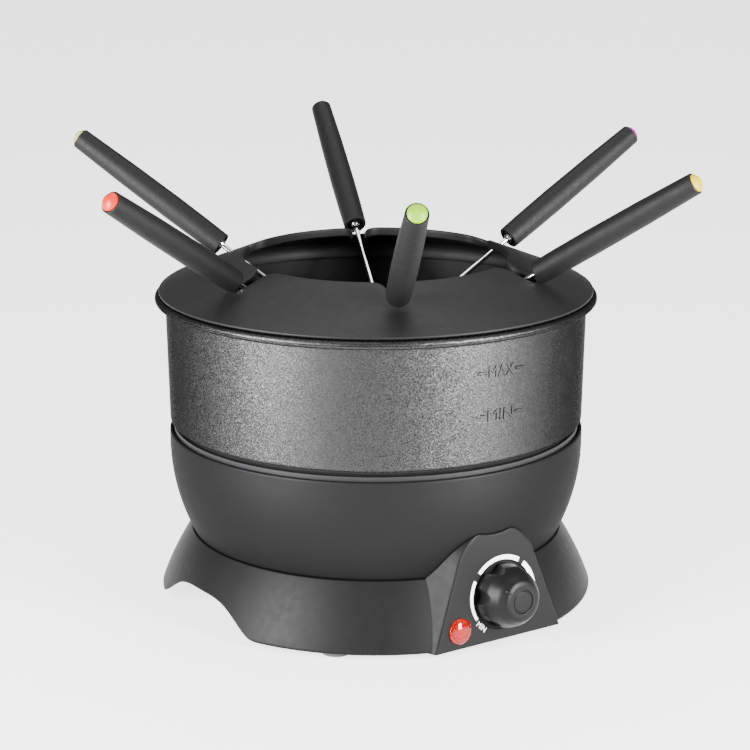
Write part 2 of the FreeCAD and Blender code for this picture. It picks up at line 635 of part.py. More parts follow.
def opening_face(grow):
    """Plan of the ring's mouth with its slots, as a face grown by an amount."""
    r = MOUTH_R + grow
    w = SLOT_HALF + grow
    fillet = MOUTH_FILLET - grow
    reach = MOUTH_R + MOUTH_FILLET
    cy = SLOT_HALF + MOUTH_FILLET
    cx = math.sqrt(reach * reach - cy * cy)
    on_mouth = math.degrees(math.atan2(cy, cx))
    mid_dir = (math.degrees(math.atan2(-cy, -cx)) + 270 - 360) / 2
    edges = []

    def turned(x, y, azimuth):
        p = V(x, y, 0)
        c = math.cos(math.radians(azimuth))
        s = math.sin(math.radians(azimuth))
        return V(p.x * c - p.y * s, p.x * s + p.y * c, 0)

    slots = sorted(f[1] for f in FORKS)
    for i, az in enumerate(slots):
        nxt = slots[(i + 1) % len(slots)] + (360 if i == len(slots) - 1 else 0)
        m = math.radians(mid_dir)
        mx = cx + fillet * math.cos(m)
        my = cy + fillet * math.sin(m)
        a0 = polar(r, az - on_mouth)
        a1 = turned(mx, -my, az)
        a2 = turned(cx, -w, az)
        a3 = turned(SLOT_END_AT, -w, az)
        a4 = turned(SLOT_END_AT + w, 0, az)
        a5 = turned(SLOT_END_AT, w, az)
        a6 = turned(cx, w, az)
        a7 = turned(mx, my, az)
        a8 = polar(r, az + on_mouth)
        b0 = polar(r, nxt - on_mouth)
        bm = polar(r, (az + nxt) / 2)
        edges.append(Part.Arc(a0, a1, a2).toShape())
        edges.append(Part.makeLine(a2, a3))
        edges.append(Part.Arc(a3, a4, a5).toShape())
        edges.append(Part.makeLine(a5, a6))
        edges.append(Part.Arc(a6, a7, a8).toShape())
        edges.append(Part.Arc(a8, bm, b0).toShape())
    return Part.Face(Part.Wire(edges))


def cone_z(radius):
    """Height of the ring's upper face at a radius."""
    return RING_EDGE_Z + RING_RISE * (RING_R - radius)


def cone_sheet(top_drop, thickness, outer, inner):
    """Ring of the cone between two radii, top_drop below its upper face."""
    zo = cone_z(outer) - top_drop
    zi = cone_z(inner) - top_drop
    return revolve([(inner, zi), (outer, zo), (outer, zo - thickness),
                    (inner, zi - thickness)])


def make_fork_ring():
    """Splash guard cone with six fork slots, a turned-down lip and a locating collar."""
    edge = cone_z(RING_R)
    sheet = revolve([
        (40, cone_z(40)), (RING_R - 0.7, cone_z(RING_R - 0.7)),
        ((RING_R - 0.1, edge - 0.25), (RING_R, edge - 0.75)),
        ((RING_R - 0.1, edge - 1.2), (RING_R - 0.7, edge - RING_T)),
        (40, cone_z(40) - RING_T),
    ])
    opening = opening_face(0.0).extrude(V(0, 0, 300))
    band = opening_face(LIP_T).extrude(V(0, 0, 300))
    lip = cone_sheet(0.4, LIP_DROP - 0.4, RING_R - 8, 40).common(band)
    collar = revolve([
        (COLLAR_R - COLLAR_T, COLLAR_LOW_Z), (COLLAR_R, COLLAR_LOW_Z),
        (COLLAR_R, cone_z(COLLAR_R) - 0.5), (COLLAR_R - COLLAR_T, cone_z(COLLAR_R) - 0.5),
    ])
    body = sheet.fuse(lip).fuse(collar).cut(opening)
    save("fork_ring", body)


# ---- forks ------------------------------------------------------------------
def place_fork(shape, slot, heading, incline):
    """Bring a shape from fork axes (+Z towards the cap, origin in the slot) to the frame."""
    turned = shape.copy()
    turned.rotate(V(0, 0, 0), V(0, 1, 0), incline)
    turned.rotate(V(0, 0, 0), V(0, 0, 1), heading)
    turned.translate(polar(FORK_AT, slot, cone_z(FORK_AT)))
    return turned


def fork_handle():
    """Waisted handle with a recessed lower end for the rod and a seat for the cap."""
    z0 = HANDLE_START
    z1 = HANDLE_START + HANDLE_L
    bore = ROD_R + 0.02
    end = HANDLE_END_ROUND
    return revolve([
        (bore, z0 + SOCKET_DEPTH), (SOCKET_R, z0 + SOCKET_DEPTH), (SOCKET_R + 0.3, z0 + 0.2),
        ((SOCKET_R + 0.8, z0), (HANDLE_LOW_R, z0 + 1.2)),
        ((HANDLE_MID_R, z0 + HANDLE_L * 0.35), (HANDLE_TOP_R, z1 - end)),
        ((HANDLE_TOP_R - end * 0.29, z1 - end * 0.29), (HANDLE_TOP_R - end, z1)),
        (CAP_R + 0.02, z1), (CAP_R + 0.02, z1 - CAP_SEAT), (0, z1 - CAP_SEAT),
        (0, z0 + ROD_IN_HANDLE), (bore, z0 + ROD_IN_HANDLE),
    ])


def fork_rod():
    """Steel rod that ends in two pointed tines side by side."""
    shoulder = -(FORK_REACH - TINE_L)
    spread = TINE_GAP + TINE_R
    rod = cylinder(ROD_R, HANDLE_START + ROD_IN_HANDLE - 0.2 - shoulder, V(0, 0, shoulder))
    bridge = Part.makeBox(BRIDGE_T, 2 * spread, BRIDGE_L,
                          V(-BRIDGE_T / 2, -spread, shoulder - BRIDGE_L / 2))
    body = rod.fuse(bridge)
    for side in (-1, 1):
        start = V(0, side * TINE_GAP, TINE_POINT_L - FORK_REACH)
        tine = cylinder(TINE_R, TINE_L - TINE_POINT_L - BRIDGE_L / 2 + 1.0, start)
        point = Part.makeCone(0.25, TINE_R, TINE_POINT_L, start - V(0, 0, TINE_POINT_L))
        body = body.fuse(tine).fuse(point)
    return body.removeSplitter()


def fork_cap():
    """Colour cap: a plug in the handle's end with a dome that stands out of it."""
    z1 = HANDLE_START + HANDLE_L
    return revolve([
        (0, z1 - CAP_SEAT), (CAP_R, z1 - CAP_SEAT), (CAP_R, z1), dome(CAP_R, z1, z1 + CAP_RISE),
    ])


def make_forks():
    """Six forks, each a handle, a rod and a coloured cap."""
    for name, slot, heading, incline in FORKS:
        save("fork_handle_" + name, place_fork(fork_handle(), slot, heading, incline))
        save("fork_rod_" + name, place_fork(fork_rod(), slot, heading, incline))
        save("fork_cap_" + name, place_fork(fork_cap(), slot, heading, incline))


os.makedirs("parts", exist_ok=True)
make_base_skirt()
make_base_cover()
make_cord_gland()
make_heater_bowl()
make_bowl_liner()
make_heating_plate()
make_inner_electrics()
make_thermostat()
make_knob()
make_lamp()
make_pot()
make_fork_ring()
make_forks()
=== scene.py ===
"""Looks of the electric fondue set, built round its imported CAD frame.  Metres, +Z up."""
import json
import math

import bmesh
import bpy
from mathutils import Matrix, Vector


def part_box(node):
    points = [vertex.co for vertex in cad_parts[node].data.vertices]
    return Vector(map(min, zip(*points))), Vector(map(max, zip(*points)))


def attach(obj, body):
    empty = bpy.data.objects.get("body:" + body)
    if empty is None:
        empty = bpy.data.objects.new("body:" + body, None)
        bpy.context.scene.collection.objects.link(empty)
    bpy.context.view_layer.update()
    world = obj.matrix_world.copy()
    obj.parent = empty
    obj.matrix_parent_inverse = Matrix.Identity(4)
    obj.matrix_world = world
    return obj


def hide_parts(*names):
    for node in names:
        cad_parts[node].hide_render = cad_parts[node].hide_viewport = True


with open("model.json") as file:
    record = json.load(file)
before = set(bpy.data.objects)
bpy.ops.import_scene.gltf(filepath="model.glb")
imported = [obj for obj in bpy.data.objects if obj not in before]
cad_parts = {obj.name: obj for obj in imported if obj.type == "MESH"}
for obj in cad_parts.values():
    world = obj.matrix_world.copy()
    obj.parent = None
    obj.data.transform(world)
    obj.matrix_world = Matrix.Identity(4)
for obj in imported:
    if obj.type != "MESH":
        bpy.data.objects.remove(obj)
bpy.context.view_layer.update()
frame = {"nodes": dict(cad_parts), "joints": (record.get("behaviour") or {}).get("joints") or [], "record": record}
RECORD = frame["record"]
JOINTS = {joint["name"]: joint for joint in frame["joints"]}
FORKS = [joint["child"][len("fork_"):] for joint in frame["joints"]
         if joint["name"].startswith("fork_")]

MM = 0.001

# ---- sizes the CAD boxes don't give, in metres ------------------------------
POT_NECK_R = 91.6 * MM
POT_LOW_R = 96.0 * MM
POT_TOP_R = 97.2 * MM
POT_WALL = 2.2 * MM
POT_FLOOR = 2.5 * MM          # floor above the pot's underside
POT_STEP = 10.9 * MM          # step above the pot's underside
RIM_H = 3.6 * MM
RIM_ROUND = 1.78 * MM
LEVEL_WORDS = (("MAX", 17.6 * MM), ("MIN", 37.1 * MM))     # each with its drop below the rim
LEVEL_TALL = 5.2 * MM
LEVEL_WIDE = 13.4 * MM
LEVEL_RISE = 0.9 * MM
DASH_AT = 10.0 * MM           # outer end of a dash from the word's middle
DASH_HALF = (2.6 * MM, 0.6 * MM, 0.45 * MM)

RING_RISE = 0.392             # rise of the cone per unit of radius
RING_T = 1.5 * MM
RING_BEAD = 0.75 * MM         # radius of the rolled outer edge
MOUTH_R = 61.0 * MM
SLOT_HALF = 3.1 * MM
SLOT_END_AT = 75.0 * MM
MOUTH_FILLET = 7.5 * MM
LIP_DROP = 4.2 * MM
LIP_T = 1.3 * MM
LIP_ROLL = 1.25 * MM
LIP_EDGE = 0.45 * MM
LIP_REACH = 2.0 * MM          # the lip's roll starts this far out from the mouth
COLLAR_R = 93.6 * MM
COLLAR_T = 1.5 * MM
SLOT_PITCH = 60.0
FIRST_SLOT = 37.0

BOWL_ARC_R = 91.0 * MM
BOWL_ARC_DROP = 6.2 * MM      # the bowl's curve starts this far below its rim
BOWL_WALL = 1.8 * MM
BOWL_HOLE_R = 40.0 * MM

PANEL_AZ = -56.0
KNOB_R = 14.5 * MM
KNOB_H = 15.2 * MM
KNOB_SCOOPS = 6
SCOOP_R = 4.4 * MM
SCOOP_FOOT_R = 11.9 * MM      # radius of a scoop's bottom at the knob's base
SCOOP_LEAN = 8.0              # it leans out by this angle as it rises
SCOOP_SOFT = 0.25 * MM        # how softly its edge runs out
POINTER_ANGLE = 142.0
MARK_AT = (8.3 * MM, 13.6 * MM)
MARK_HALF_W = 0.85 * MM
MARK_HALF_L = 1.7 * MM
MARK_RISE = 0.42 * MM
NOSE_DISC_R = 5.35 * MM
NOSE_DISC_T = 0.9 * MM

DIAL_ARCS = ((212.0, 149.0), (136.0, 56.0), (46.0, -32.0))
DIAL_IN_R = 16.0 * MM
DIAL_LEAST_W = 1.4 * MM
DIAL_GAIN_W = 1.2 * MM        # how much wider the scale is at its MAX end
DIAL_THICK = 0.05 * MM
DIAL_WORDS = (("MIN", 226.0), ("MAX", -46.0))
DIAL_WORD_AT = 17.3 * MM
DIAL_WORD_TALL = 2.5 * MM
DIAL_WORD_WIDE = 5.6 * MM

LAMP_R = 5.8 * MM
LAMP_DOME_H = 2.8 * MM
LAMP_BODY_R = 4.15 * MM
LAMP_BODY_IN_R = 3.6 * MM
GRID_PITCH = 0.75 * MM
GRID_REACH = 4.0 * MM
GRID_Z = 0.95 * MM
GRID_SAG = 0.045              # how far it falls off, in mm per square mm

SOCKET_DEPTH = 1.3 * MM
SEAM_RIDGE = 0.10 * MM
SEAM_WIDTH = 2.2              # in degrees round the handle
CAP_R = 4.1 * MM
CAP_SEAT = 1.0 * MM           # depth of the cap's seat in the handle

FLOOR_SIDE = 4.0
FLOOR_FRONT = 3.0
FLOOR_BACK = 7.0
FLOOR_GLOW = 2.6              # evens out the shadows on the floor
WORLD_LIGHT = 0.22
AIM = (0, 0, 0.09)            # the lights point here
KEY_SIZE = (0.24, 0.5)
TOP_SIZE = (1.2, 1.2)

PI = math.pi


# ---- mesh helpers -----------------------------------------------------------
def add_mesh(name, verts, faces, body, materials, indices=None, stands_for=()):
    """A smooth mesh piece that rides on a body and takes the materials it is given."""
    mesh = bpy.data.meshes.new(name)
    mesh.from_pydata([tuple(v) for v in verts], [], faces)
    for material in materials:
        mesh.materials.append(material)
    if indices:
        mesh.polygons.foreach_set("material_index", indices)
    work = bmesh.new()
    work.from_mesh(mesh)
    bmesh.ops.recalc_face_normals(work, faces=work.faces)
    for face in work.faces:
        face.smooth = True
    work.to_mesh(mesh)
    work.free()
    piece = bpy.data.objects.new(name, mesh)
    bpy.context.scene.collection.objects.link(piece)
    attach(piece, body)
    if stands_for:
        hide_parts(*stands_for)
    return piece


def rounded(corners, steps=6, hold=0.25 * MM):
    """Outline through (x, y, radius) corners, each rounded by its radius, with points that
    hold the straight runs between them flat under smooth shading."""
    out = []
    last = len(corners) - 1
    for i, (x, y, radius) in enumerate(corners):
        corner = Vector((x, y))
        if i in (0, last) or radius <= 0:
            out.append((x, y))
            continue
        back = Vector(corners[i - 1][:2]) - corner
        on = Vector(corners[i + 1][:2]) - corner
        reach = min(back.length, on.length) * 0.49
        half = back.angle(on) / 2
        cut = min(radius / math.tan(half), reach)
        radius = cut * math.tan(half)
        back_way = back.normalized()
        on_way = on.normalized()
        centre = corner + (back_way + on_way).normalized() * (radius / math.sin(half))
        start = corner + back_way * cut - centre
        end = corner + on_way * cut - centre
        first = math.atan2(start.y, start.x)
        sweep = (math.atan2(end.y, end.x) - first + PI) % (2 * PI) - PI
        if back.length - cut > 3 * hold:
            p = corner + back_way * (cut + hold)
            out.append((p.x, p.y))
        for k in range(steps + 1):
            angle = first + sweep * k / steps
            out.append((centre.x + radius * math.cos(angle), centre.y + radius * math.sin(angle)))
        if on.length - cut > 3 * hold:
            p = corner + on_way * (cut + hold)
            out.append((p.x, p.y))
    return out


def lathe_mesh(outline, segments, place=None, closed=False):
    """Vertices and faces of an outline of (radius, height) turned about the vertical axis."""
    place = place or Matrix.Identity(4)
    verts = []
    rings = []
    for r, z in outline:
        if r < 1e-7:
            rings.append([len(verts)])
            verts.append(place @ Vector((0, 0, z)))
            continue
        ring = []
        for k in range(segments):
            a = 2 * PI * k / segments
            ring.append(len(verts))
            verts.append(place @ Vector((r * math.cos(a), r * math.sin(a), z)))
        rings.append(ring)
    faces = []
    runs = []
    pairs = list(zip(rings, rings[1:]))
    if closed:
        pairs.append((rings[-1], rings[0]))
    for run, (one, two) in enumerate(pairs):
        for k in range(segments):
            n = (k + 1) % segments
            if len(one) == 1 and len(two) == 1:
                continue
            if len(one) == 1:
                faces.append((one[0], two[k], two[n]))
            elif len(two) == 1:
                faces.append((one[k], one[n], two[0]))
            else:
                faces.append((one[k], one[n], two[n], two[k]))
            runs.append(run)
    return verts, faces, runs


def lathe(name, outline, body, materials, segments=192, place=None, closed=False,
          finish_of=None, stands_for=()):
    """A turned piece; finish_of(radius, height) picks the material of each run."""
    verts, faces, runs = lathe_mesh(outline, segments, place, closed)
    indices = None
    if finish_of:
        ends = outline + outline[:1]
        middles = [((ends[i][0] + ends[i + 1][0]) / 2, (ends[i][1] + ends[i + 1][1]) / 2)
                   for i in range(len(outline))]
        indices = [finish_of(*middles[run]) for run in runs]
    return add_mesh(name, verts, faces, body, materials, indices, stands_for)


def axis_frame(node, direction):
    """Matrix with +Z along a node's own axis and its origin where the node starts, and the
    node's length along that axis."""
    w = Vector(direction).normalized()
    u = Vector((0, 0, 1)).cross(w).normalized()
    v = w.cross(u)
    points = [p.co for p in frame["nodes"][node].data.vertices]
    spans = []
    for way in (u, v, w):
        along = [p.dot(way) for p in points]
        spans.append((min(along), max(along)))
    origin = u * sum(spans[0]) / 2 + v * sum(spans[1]) / 2 + w * spans[2][0]
    basis = Matrix((u, v, w)).transposed().to_4x4()
    basis.translation = origin
    return basis, spans[2][1] - spans[2][0]


def lettering(text, tall, wide, thick):
    """Vertices and faces of a word centred on the origin, standing out along +Z."""
    curve = bpy.data.curves.new("word", "FONT")
    curve.body = text
    curve.align_x = "CENTER"
    curve.align_y = "CENTER"
    curve.size = 1.0
    extrude = 0.05
    curve.extrude = extrude
    curve.resolution_u = 6
    maker = bpy.data.objects.new("word", curve)
    bpy.context.scene.collection.objects.link(maker)
    bpy.context.view_layer.update()
    mesh = bpy.data.meshes.new_from_object(maker)
    xs = [v.co.x for v in mesh.vertices]
    ys = [v.co.y for v in mesh.vertices]
    sx = wide / (max(xs) - min(xs))
    sy = tall / (max(ys) - min(ys))
    cx = (max(xs) + min(xs)) / 2
    cy = (max(ys) + min(ys)) / 2
    verts = [Vector(((v.co.x - cx) * sx, (v.co.y - cy) * sy, v.co.z / extrude * thick / 2))
             for v in mesh.vertices]
    faces = [tuple(p.vertices) for p in mesh.polygons]
    bpy.data.objects.remove(maker)
    bpy.data.curves.remove(curve)
    bpy.data.meshes.remove(mesh)
    return verts, faces


# ---- material helpers -------------------------------------------------------
class Finish:
    """A node material being put together round one Principled shader."""

    def __init__(self, name, colour, rough, metal=0.0):
        self.material = bpy.data.materials.new(name)
        self.material.use_nodes = True
        self.tree = self.material.node_tree
        self.shader = self.tree.nodes["Principled BSDF"]
        self.shader.inputs["Base Color"].default_value = (*colour, 1)
        self.shader.inputs["Roughness"].default_value = rough
        self.shader.inputs["Metallic"].default_value = metal
        self.colour = colour
        self.rough = rough
        self.height = None
        self.place = self.node("ShaderNodeTexCoord").outputs["Object"]

    def node(self, kind, **settings):
        made = self.tree.nodes.new(kind)
        for key, value in settings.items():
            setattr(made, key, value)
        return made

    def link(self, out, into):
        self.tree.links.new(out, into)

    def set(self, **values):
        """Constants on the shader's own sockets, named with underscores for spaces."""
        for key, value in values.items():
            self.shader.inputs[key.replace("_", " ")].default_value = value

    def noise(self, size, detail=2.0, roughness=0.5, stretch=(1, 1, 1)):
        """Noise with features of about a size in metres."""
        made = self.node("ShaderNodeTexNoise")
        made.inputs["Scale"].default_value = 1.0 / size
        made.inputs["Detail"].default_value = detail
        made.inputs["Roughness"].default_value = roughness
        place = self.place
        if stretch != (1, 1, 1):
            squeeze = self.node("ShaderNodeMapping")
            squeeze.inputs["Scale"].default_value = stretch
            self.link(self.place, squeeze.inputs["Vector"])
            place = squeeze.outputs["Vector"]
        self.link(place, made.inputs["Vector"])
        return made.outputs["Fac"]

    def cells(self, size):
        """Voronoi cells of about a size in metres."""
        made = self.node("ShaderNodeTexVoronoi", feature="F1")
        made.inputs["Scale"].default_value = 1.0 / size
        self.link(self.place, made.inputs["Vector"])
        return made

    def span(self, value, low, high, from_low=0.0, from_high=1.0):
        """Map a value from one range to another."""
        made = self.node("ShaderNodeMapRange")
        made.inputs["From Min"].default_value = from_low
        made.inputs["From Max"].default_value = from_high
        made.inputs["To Min"].default_value = low
        made.inputs["To Max"].default_value = high
        self.link(value, made.inputs["Value"])
        return made.outputs["Result"]

    def tint(self, factor, low, high):
        """Base colour that runs between two shades by a factor from 0 to 1."""
        mix = self.node("ShaderNodeMix", data_type="RGBA")
        mix.inputs["A"].default_value = (*low, 1)
        mix.inputs["B"].default_value = (*high, 1)
        self.link(factor, mix.inputs["Factor"])
        self.link(mix.outputs["Result"], self.shader.inputs["Base Color"])

    def shades(self, factor, spread):
        """Base colour that varies by a share of itself."""
        low = [c * (1 - spread) for c in self.colour]
        high = [min(1.0, c * (1 + spread)) for c in self.colour]
        self.tint(factor, low, high)

    def roughen(self, factor, spread):
        """Roughness that varies either side of its own value."""
        self.link(self.span(factor, self.rough - spread, self.rough + spread, 0.25, 0.75),
                  self.shader.inputs["Roughness"])

    def bump(self, height, depth):
        """Fine relief of a depth in metres, on top of any there already."""
        made = self.node("ShaderNodeBump")
        made.inputs["Strength"].default_value = 1.0
        made.inputs["Distance"].default_value = depth
        self.link(height, made.inputs["Height"])
        if self.height is not None:
            self.link(self.height, made.inputs["Normal"])
        self.height = made.outputs["Normal"]
        self.link(self.height, self.shader.inputs["Normal"])

    def soft_edges(self, radius):
        """Edges that catch the light as if rounded by a radius."""
        made = self.node("ShaderNodeBevel", samples=6)
        made.inputs["Radius"].default_value = radius
        self.height = made.outputs["Normal"]
        self.link(self.height, self.shader.inputs["Normal"])


def moulded(name, colour, rough, grain=0.22 * MM, depth=0.018 * MM, spread=0.10, edges=0.0):
    """Injection-moulded plastic with a spark-eroded grain and faint flow clouds."""
    f = Finish(name, colour, rough)
    f.set(Specular_IOR_Level=0.10)
    if edges:
        f.soft_edges(edges)
    clouds = f.noise(14 * MM, 4.0, 0.6)
    f.shades(f.span(clouds, 0, 1, 0.3, 0.7), spread)
    f.roughen(f.noise(3 * MM, 5.0, 0.65), 0.05)
    f.bump(f.noise(grain, 3.0, 0.6), depth)
    f.bump(f.noise(2.2 * MM, 2.0), 0.006 * MM)
    return f.material


def rubbery(name, colour):
    """Matte rubber with a fine pitted skin."""
    f = Finish(name, colour, 0.78)
    f.set(Specular_IOR_Level=0.3)
    f.shades(f.noise(2.5 * MM, 5.0, 0.7), 0.25)
    f.bump(f.noise(0.35 * MM, 4.0, 0.7), 0.04 * MM)
    return f.material


def sparkle_paint(name, colour, rough, flake, tilt, contrast):
    """Metallic paint: each flake has its own shade and its own tilt."""
    f = Finish(name, colour, rough, metal=0.95)
    f.set(Specular_IOR_Level=0.1, Specular_Tint=(0.02, 0.02, 0.02, 1))
    cells = f.cells(flake)
    split = f.node("ShaderNodeSeparateColor")
    f.link(cells.outputs["Color"], split.inputs["Color"])
    low = [c * (1 - contrast) for c in colour]
    high = [c * (1 + contrast * 1.6) for c in colour]
    f.tint(split.outputs["Red"], low, high)
    f.roughen(f.noise(6 * MM, 3.0), 0.04)
    centred = f.node("ShaderNodeVectorMath", operation="SUBTRACT")
    f.link(cells.outputs["Color"], centred.inputs[0])
    centred.inputs[1].default_value = (0.5, 0.5, 0.5)
    scaled = f.node("ShaderNodeVectorMath", operation="SCALE")
    scaled.inputs["Scale"].default_value = tilt
    f.link(centred.outputs["Vector"], scaled.inputs[0])
    added = f.node("ShaderNodeVectorMath", operation="ADD")
    f.link(f.node("ShaderNodeNewGeometry").outputs["Normal"], added.inputs[0])
    f.link(scaled.outputs["Vector"], added.inputs[1])
    unit = f.node("ShaderNodeVectorMath", operation="NORMALIZE")
    f.link(added.outputs["Vector"], unit.inputs[0])
    f.height = unit.outputs["Vector"]
    f.bump(f.noise(0.9 * MM, 3.0), 0.02 * MM)
    return f.material


def satin_paint(name, colour, rough):
    """Smooth satin enamel over pressed steel, with a slight orange peel."""
    f = Finish(name, colour, rough, metal=0.7)
    f.set(Specular_IOR_Level=0.1, Specular_Tint=(0.05, 0.05, 0.05, 1))
    f.shades(f.noise(0.3 * MM, 2.0), 0.16)
    f.roughen(f.noise(9 * MM, 4.0), 0.05)
    f.bump(f.noise(1.6 * MM, 2.0), 0.006 * MM)
    f.bump(f.noise(0.25 * MM, 2.0), 0.004 * MM)
    return f.material


def black_coat(name, colour, rough, speck=0.3):
    """Black coat with a fine grain and a few paler specks."""
    f = Finish(name, colour, rough)
    f.set(Specular_IOR_Level=0.18)
    grain = f.noise(0.28 * MM, 3.0, 0.7)
    f.shades(f.span(grain, 0, 1, 0.3, 0.75), speck)
    f.roughen(f.noise(5 * MM, 4.0), 0.05)
    f.bump(grain, 0.016 * MM)
    f.bump(f.noise(3.0 * MM, 2.0), 0.008 * MM)
    return f.material


def cloudy_handle(name, colour):
    """Matte phenolic handle: cloudy wear, pores and fine grain."""
    f = Finish(name, colour, 0.58)
    f.set(Specular_IOR_Level=0.16)
    f.shades(f.span(f.noise(1.6 * MM, 5.0, 0.7), 0, 1, 0.3, 0.7), 0.4)
    f.roughen(f.noise(2.4 * MM, 5.0, 0.7), 0.09)
    f.bump(f.noise(0.22 * MM, 3.0, 0.6), 0.04 * MM)
    f.bump(f.noise(1.4 * MM, 3.0), 0.02 * MM)
    return f.material


def polished(name, colour, rough, scratch=0.12 * MM):
    """Polished or drawn metal with fine scratches."""
    f = Finish(name, colour, rough, metal=1.0)
    f.shades(f.noise(4 * MM, 5.0, 0.7), 0.08)
    f.roughen(f.noise(0.8 * MM, 5.0, 0.7), 0.06)
    f.bump(f.noise(scratch, 2.0, 0.5, (1, 1, 0.06)), 0.003 * MM)
    return f.material


def turned_metal(name, colour, rough):
    """Cast plate with a turned face: concentric tool marks about the axis."""
    f = Finish(name, colour, rough, metal=1.0)
    rings = f.node("ShaderNodeTexWave", wave_type="RINGS", rings_direction="Z")
    rings.inputs["Scale"].default_value = 420.0
    rings.inputs["Distortion"].default_value = 0.6
    f.link(f.place, rings.inputs["Vector"])
    f.shades(f.noise(5 * MM, 5.0, 0.7), 0.15)
    f.roughen(f.noise(1.2 * MM, 4.0), 0.08)
    f.bump(rings.outputs["Fac"], 0.012 * MM)
    f.bump(f.noise(0.4 * MM, 3.0), 0.01 * MM)
    return f.material


def ceramic(name, colour):
    """Unglazed ceramic or steatite: chalky with pores."""
    f = Finish(name, colour, 0.7)
    f.shades(f.noise(3 * MM, 5.0, 0.7), 0.08)
    f.bump(f.noise(0.3 * MM, 4.0, 0.7), 0.03 * MM)
    return f.material


def glossy_cap(name, colour):
    """Smooth coloured cap."""
    f = Finish(name, colour, 0.34)
    f.set(Specular_IOR_Level=0.22)
    f.shades(f.noise(2.0 * MM, 4.0), 0.06)
    f.roughen(f.noise(0.9 * MM, 4.0), 0.05)
    f.bump(f.noise(0.5 * MM, 2.0), 0.008 * MM)
    return f.material


def red_lens(name, colour):
    """Clear red lens."""
    f = Finish(name, colour, 0.08)
    f.set(Transmission_Weight=0.9, IOR=1.4, Specular_IOR_Level=0.3)
    f.shades(f.noise(2.0 * MM, 3.0), 0.1)
    f.bump(f.noise(0.7 * MM, 2.0), 0.01 * MM)
    return f.material


def lamp_glow(name, colour):
    """Bright reflector grid behind the lens."""
    f = Finish(name, colour, 0.4)
    f.shades(f.noise(0.8 * MM, 3.0), 0.3)
    f.set(Emission_Color=(1.0, 0.07, 0.005, 1), Emission_Strength=0.16)
    f.bump(f.noise(0.3 * MM, 2.0), 0.02 * MM)
    return f.material


def print_white(name):
    """Screen-printed white ink."""
    f = Finish(name, (0.86, 0.86, 0.85), 0.55)
    f.shades(f.noise(0.5 * MM, 4.0, 0.7), 0.05)
    f.bump(f.noise(0.2 * MM, 3.0), 0.006 * MM)
    return f.material


def neon_glass(name, colour):
    """Small neon tube."""
    f = Finish(name, colour, 0.1)
    f.set(Transmission_Weight=0.7, IOR=1.45)
    f.shades(f.noise(1.0 * MM, 3.0), 0.1)
    f.bump(f.noise(0.6 * MM, 2.0), 0.01 * MM)
    return f.material


CAP_COLOURS = {
    "cream": (0.28, 0.28, 0.11), "orange": (0.36, 0.010, 0.001), "blue": (0.003, 0.045, 0.26),
    "lime": (0.14, 0.30, 0.001), "magenta": (0.22, 0.005, 0.20), "yellow": (0.36, 0.27, 0.001),
}

FINISHES = {
    "base_plastic": moulded("base_plastic", (0.0034, 0.0034, 0.0035), 0.5, edges=0.7 * MM),
    "cover_plastic": moulded("cover_plastic", (0.022, 0.022, 0.023), 0.6),
    "knob_plastic": moulded("knob_plastic", (0.0042, 0.0042, 0.0043), 0.38, grain=0.18 * MM),
    "holder_plastic": moulded("holder_plastic", (0.78, 0.77, 0.72), 0.5),
    "gland_rubber": rubbery("gland_rubber", (0.03, 0.03, 0.032)),
    "foot_rubber": rubbery("foot_rubber", (0.05, 0.05, 0.05)),
    "bowl_paint": satin_paint("bowl_paint", (0.0125, 0.0124, 0.0127), 0.50),
    "liner_black": black_coat("liner_black", (0.012, 0.012, 0.013), 0.5),
    "pot_coating": sparkle_paint("pot_coating", (0.033, 0.0323, 0.0327), 0.38,
                                 flake=0.3 * MM, tilt=0.32, contrast=0.5),
    "ring_plastic": black_coat("ring_plastic", (0.004, 0.004, 0.0042), 0.55),
    "handle_plastic": cloudy_handle("handle_plastic", (0.003, 0.003, 0.0031)),
    "plate_cast": turned_metal("plate_cast", (0.55, 0.55, 0.56), 0.4),
    "element_steel": polished("element_steel", (0.30, 0.29, 0.27), 0.45),
    "screw_steel": polished("screw_steel", (0.60, 0.60, 0.61), 0.32),
    "bracket_steel": polished("bracket_steel", (0.60, 0.60, 0.60), 0.38),
    "rod_steel": polished("rod_steel", (0.78, 0.77, 0.76), 0.16),
    "shaft_brass": polished("shaft_brass", (0.78, 0.58, 0.26), 0.3),
    "terminal_ceramic": ceramic("terminal_ceramic", (0.82, 0.80, 0.74)),
    "thermostat_case": ceramic("thermostat_case", (0.76, 0.73, 0.67)),
    "fuse_body": ceramic("fuse_body", (0.72, 0.68, 0.60)),
    "lens_red": red_lens("lens_red", (0.72, 0.02, 0.004)),
    "neon_glass": neon_glass("neon_glass", (0.95, 0.62, 0.42)),
}
for fork, shade in CAP_COLOURS.items():
    FINISHES["cap_" + fork] = glossy_cap("cap_" + fork, shade)
NON_STICK = black_coat("non_stick", (0.008, 0.008, 0.008), 0.36, 0.5)
LAMP_GRID = lamp_glow("lamp_grid", (0.40, 0.016, 0.002))
WHITE_INK = print_white("white_ink")


# ---- CAD nodes that stay ----------------------------------------------------
def finish_cad_nodes():
    """Every CAD node gets the detailed material of its record slot."""
    for row in RECORD["subparts"]:
        mesh = frame["nodes"][row["node"]].data
        mesh.materials.clear()
        mesh.materials.append(FINISHES[row["material_slot"]])


